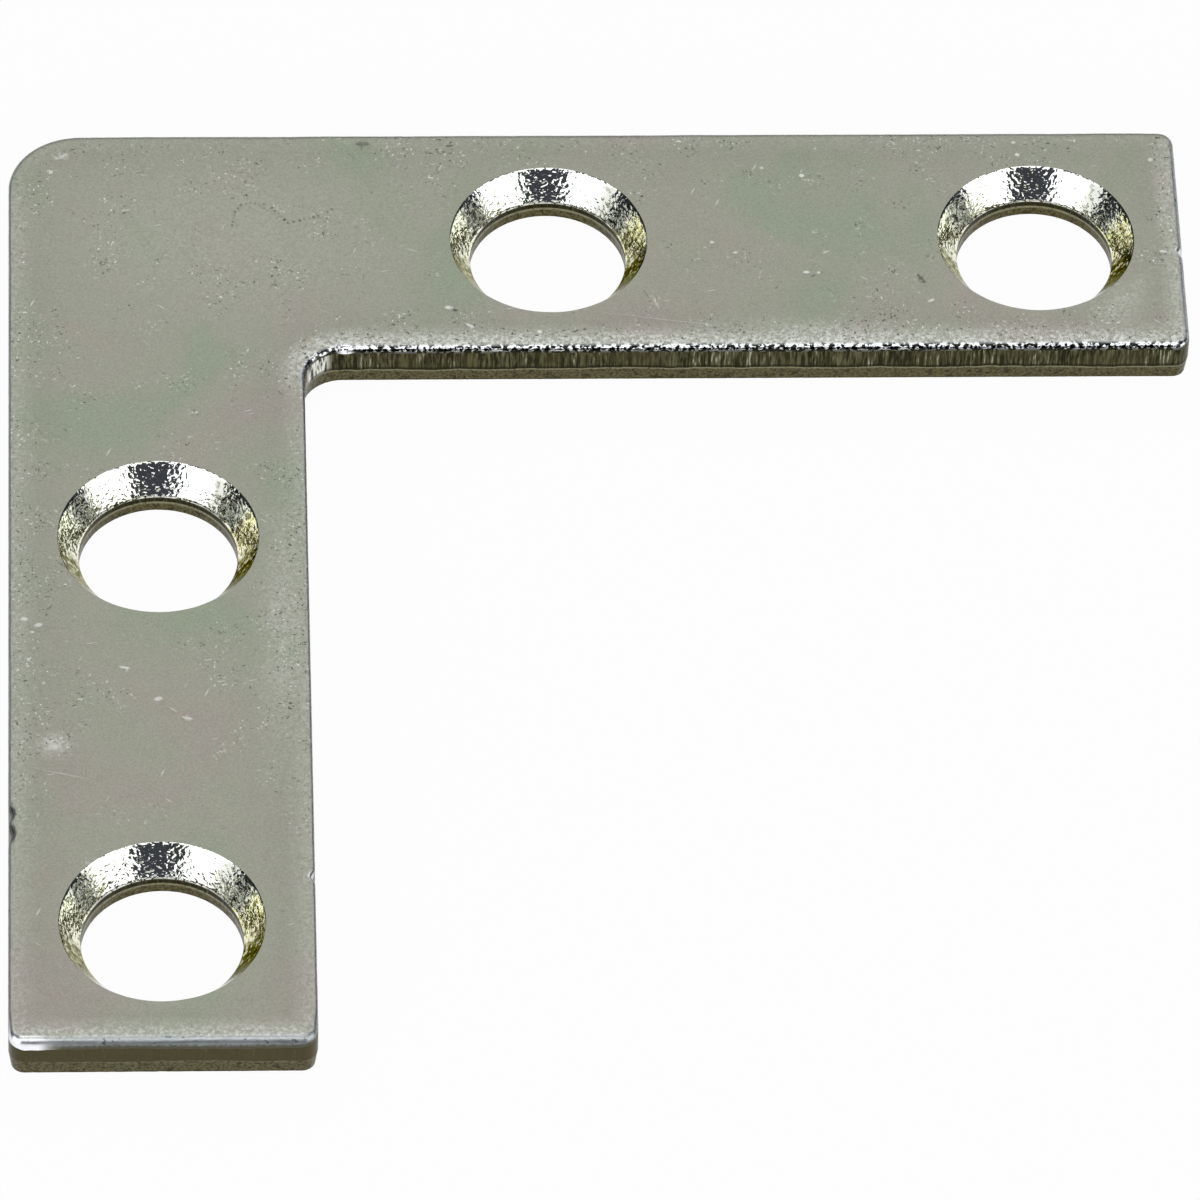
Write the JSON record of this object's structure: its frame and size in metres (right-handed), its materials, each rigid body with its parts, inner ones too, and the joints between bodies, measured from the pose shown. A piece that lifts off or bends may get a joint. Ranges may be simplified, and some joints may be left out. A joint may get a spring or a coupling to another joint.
{
  "type": "flat corner brace",
  "caption": "Flat L-shaped corner brace in zinc-plated sheet steel with countersunk screw holes along both arms, for joining boards or frame members that meet at a right angle.",
  "frame": {"origin": "on the back face, under the middle of the square that the two arms span", "axes": "+Z out of the countersunk front face, +X along one arm and -Y along the other, both away from the outer corner"},
  "size_m": [0.0382, 0.0382, 0.0016],
  "materials": {
    "zinc_plated_steel": "clear zinc plating, satin, with a faint green and pink tint"
  },
  "bodies": {
    "root": {"brace_plate": "zinc_plated_steel"}
  },
  "joints": []
}
